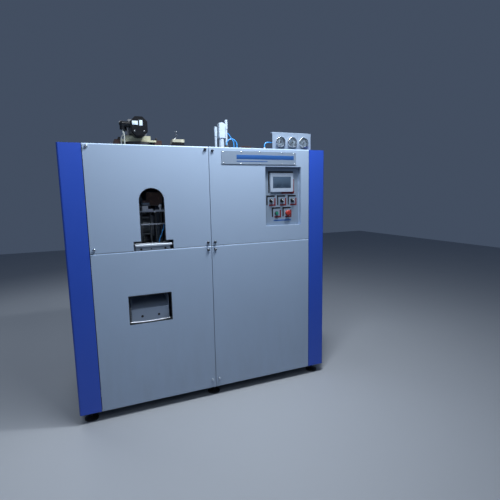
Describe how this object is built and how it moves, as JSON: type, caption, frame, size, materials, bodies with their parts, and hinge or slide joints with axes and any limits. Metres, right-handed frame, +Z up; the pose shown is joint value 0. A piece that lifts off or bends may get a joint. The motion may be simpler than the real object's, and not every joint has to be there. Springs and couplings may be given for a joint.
{
  "type": "blow moulding machine",
  "caption": "Cabinet blow moulding machine with hinged doors, arched window, bottle outlet, control recess, pressure gauges and an index drive on top",
  "frame": {"origin": "on the floor under the middle of the cabinet", "axes": "+X to the right seen from the front, +Y to the rear, +Z up"},
  "size_m": [1.88, 1.061, 2.107],
  "materials": {
    "feet_steel": "black painted steel pads on threaded stems",
    "frame_paint": "black painted square tube",
    "bed_steel": "ground steel plate",
    "column_blue": "royal blue powder coat",
    "panel_grey": "light grey-blue powder coat",
    "screw_steel": "plated knurled screws",
    "sill_steel": "bare folded stainless steel",
    "zinc_steel": "zinc plated steel",
    "control_plate": "satin grey metal",
    "bracket_print": "black and dark red film",
    "name_plate": "bare brushed plate",
    "screen_bezel": "light grey bezel with a dark screen",
    "switch_bezel": "dark grey plastic",
    "selector_black": "black plastic with a light pointer",
    "button_green": "green plastic",
    "stop_red": "red plastic",
    "gauge_chrome": "polished case with a pale dial",
    "gauge_glass": "clear",
    "needle_black": "black needle",
    "riser_brown": "red-brown primer",
    "plate_cream": "cream zinc passivated plate",
    "motor_black": "black servo housing with its two cables",
    "gearbox_grey": "grey painted casting",
    "bearing_black": "dark casting",
    "carousel_alloy": "machined aluminium",
    "gripper_steel": "ground steel jaws",
    "end_plate": "grey painted steel",
    "tie_bar_chrome": "hard chromed bars",
    "cylinder_alloy": "anodised barrels",
    "platen_steel": "milled steel",
    "mould_alloy": "machined aluminium",
    "lift_white": "bright anodised profile",
    "oven_reflector": "polished reflector walls with heater rods",
    "cabinet_grey": "light grey powder coat",
    "tube_blue": "light blue air tube",
    "guide_steel": "ground steel rods and bars"
  },
  "bodies": {
    "root": {"levelling_feet": "feet_steel", "frame_posts": "frame_paint", "frame_rails": "frame_paint", "machine_bed": "bed_steel", "corner_columns": "column_blue", "side_panels": "panel_grey", "rear_panels": "panel_grey", "top_cover": "panel_grey", "window_panel": "panel_grey", "window_panel_screws": "screw_steel", "window_sill": "sill_steel", "bottle_chute": "sill_steel", "hinge_brackets": "zinc_steel", "gauge_bracket": "panel_grey", "gauge_cases": "gauge_chrome", "gauge_glasses": "gauge_glass", "motor_risers": "riser_brown", "motor_plates": "plate_cream", "index_motor": "motor_black", "index_gearbox": "gearbox_grey", "carousel_bearing": "bearing_black", "clamp_end_plates": "end_plate", "tie_bars": "tie_bar_chrome", "clamp_cylinders": "cylinder_alloy", "blow_bridge": "end_plate", "blow_head": "cylinder_alloy", "stretch_cylinder": "plate_cream", "infeed_cylinder": "lift_white", "oven": "oven_reflector", "control_cabinet": "cabinet_grey", "outfeed_guide": "guide_steel", "air_tubes": "tube_blue"},
    "outlet_door": {"outlet_door": "panel_grey", "outlet_door_screws": "screw_steel"},
    "control_door": {"control_door": "panel_grey", "control_door_screws": "screw_steel", "control_plate": "control_plate", "control_brackets": "bracket_print", "name_plate": "name_plate", "touch_screen": "screen_bezel", "switch_bodies": "switch_bezel"},
    "service_door": {"service_door": "panel_grey", "service_door_screws": "screw_steel"},
    "selector_left": {"selector_left": "selector_black"},
    "selector_middle": {"selector_middle": "selector_black"},
    "selector_right": {"selector_right": "selector_black"},
    "start_button": {"start_button": "button_green"},
    "emergency_stop": {"emergency_stop": "stop_red"},
    "needle_left": {"gauge_needle_left": "needle_black"},
    "needle_middle": {"gauge_needle_middle": "needle_black"},
    "needle_right": {"gauge_needle_right": "needle_black"},
    "carousel": {"carousel": "carousel_alloy", "grippers": "gripper_steel"},
    "left_clamp": {"left_platen": "platen_steel", "left_mould": "mould_alloy"},
    "right_clamp": {"right_platen": "platen_steel", "right_mould": "mould_alloy"},
    "nozzle": {"blow_nozzle": "gripper_steel"},
    "stretch": {"stretch_rod": "tie_bar_chrome"},
    "lift": {"infeed_lift": "lift_white"}
  },
  "joints": [
    {"name": "outlet_door_swing", "type": "hinge", "parent": "root", "child": "outlet_door", "pos_m": [-0.784, -0.516, 0.6], "axis": [0, 0, -1], "range_deg": [0, 105]},
    {"name": "control_door_swing", "type": "hinge", "parent": "root", "child": "control_door", "pos_m": [0.784, -0.516, 1.48], "axis": [0, 0, 1], "range_deg": [0, 105]},
    {"name": "service_door_swing", "type": "hinge", "parent": "root", "child": "service_door", "pos_m": [0.784, -0.516, 0.6], "axis": [0, 0, 1], "range_deg": [0, 105]},
    {"name": "selector_left_turn", "type": "hinge", "parent": "control_door", "child": "selector_left", "pos_m": [0.488, -0.5, 1.442], "axis": [0, 1, 0], "range_deg": [0, 90]},
    {"name": "selector_middle_turn", "type": "hinge", "parent": "control_door", "child": "selector_middle", "pos_m": [0.579, -0.5, 1.442], "axis": [0, 1, 0], "range_deg": [0, 90]},
    {"name": "selector_right_turn", "type": "hinge", "parent": "control_door", "child": "selector_right", "pos_m": [0.67, -0.5, 1.442], "axis": [0, 1, 0], "range_deg": [0, 90]},
    {"name": "start_button_push", "type": "slide", "parent": "control_door", "child": "start_button", "axis": [0, 1, 0], "range_m": [0, 0.003], "stiffness_N_per_m": 400, "springref_m": -0.003},
    {"name": "emergency_stop_push", "type": "slide", "parent": "control_door", "child": "emergency_stop", "axis": [0, 1, 0], "range_m": [0, 0.004]},
    {"name": "needle_left_turn", "type": "hinge", "parent": "root", "child": "needle_left", "pos_m": [0.576, -0.492, 1.876], "axis": [0, 1, 0], "range_deg": [0, 270], "stiffness_Nm_per_rad": 0.0005, "springref_deg": -5.73},
    {"name": "needle_middle_turn", "type": "hinge", "parent": "root", "child": "needle_middle", "pos_m": [0.675, -0.492, 1.876], "axis": [0, 1, 0], "range_deg": [0, 270], "stiffness_Nm_per_rad": 0.0005, "springref_deg": -5.73},
    {"name": "needle_right_turn", "type": "hinge", "parent": "root", "child": "needle_right", "pos_m": [0.774, -0.492, 1.876], "axis": [0, 1, 0], "range_deg": [0, 270], "stiffness_Nm_per_rad": 0.0005, "springref_deg": -5.73},
    {"name": "carousel_index", "type": "hinge", "parent": "root", "child": "carousel", "pos_m": [-0.406, 0, 1.45], "axis": [0, 0, 1], "continuous": true},
    {"name": "left_clamp_slide", "type": "slide", "parent": "root", "child": "left_clamp", "axis": [1, 0, 0], "range_m": [0, 0.0599]},
    {"name": "right_clamp_slide", "type": "slide", "parent": "root", "child": "right_clamp", "axis": [-1, 0, 0], "range_m": [0, 0.0599]},
    {"name": "nozzle_slide", "type": "slide", "parent": "root", "child": "nozzle", "axis": [0, 0, -1], "range_m": [0, 0.04]},
    {"name": "stretch_slide", "type": "slide", "parent": "root", "child": "stretch", "axis": [0, 0, -1], "range_m": [0, 0.23]},
    {"name": "lift_slide", "type": "slide", "parent": "root", "child": "lift", "axis": [0, 0, -1], "range_m": [0, 0.108]}
  ],
  "couplings": [
    {"joint": "right_clamp_slide", "follows": "left_clamp_slide", "ratio": 1}
  ]
}
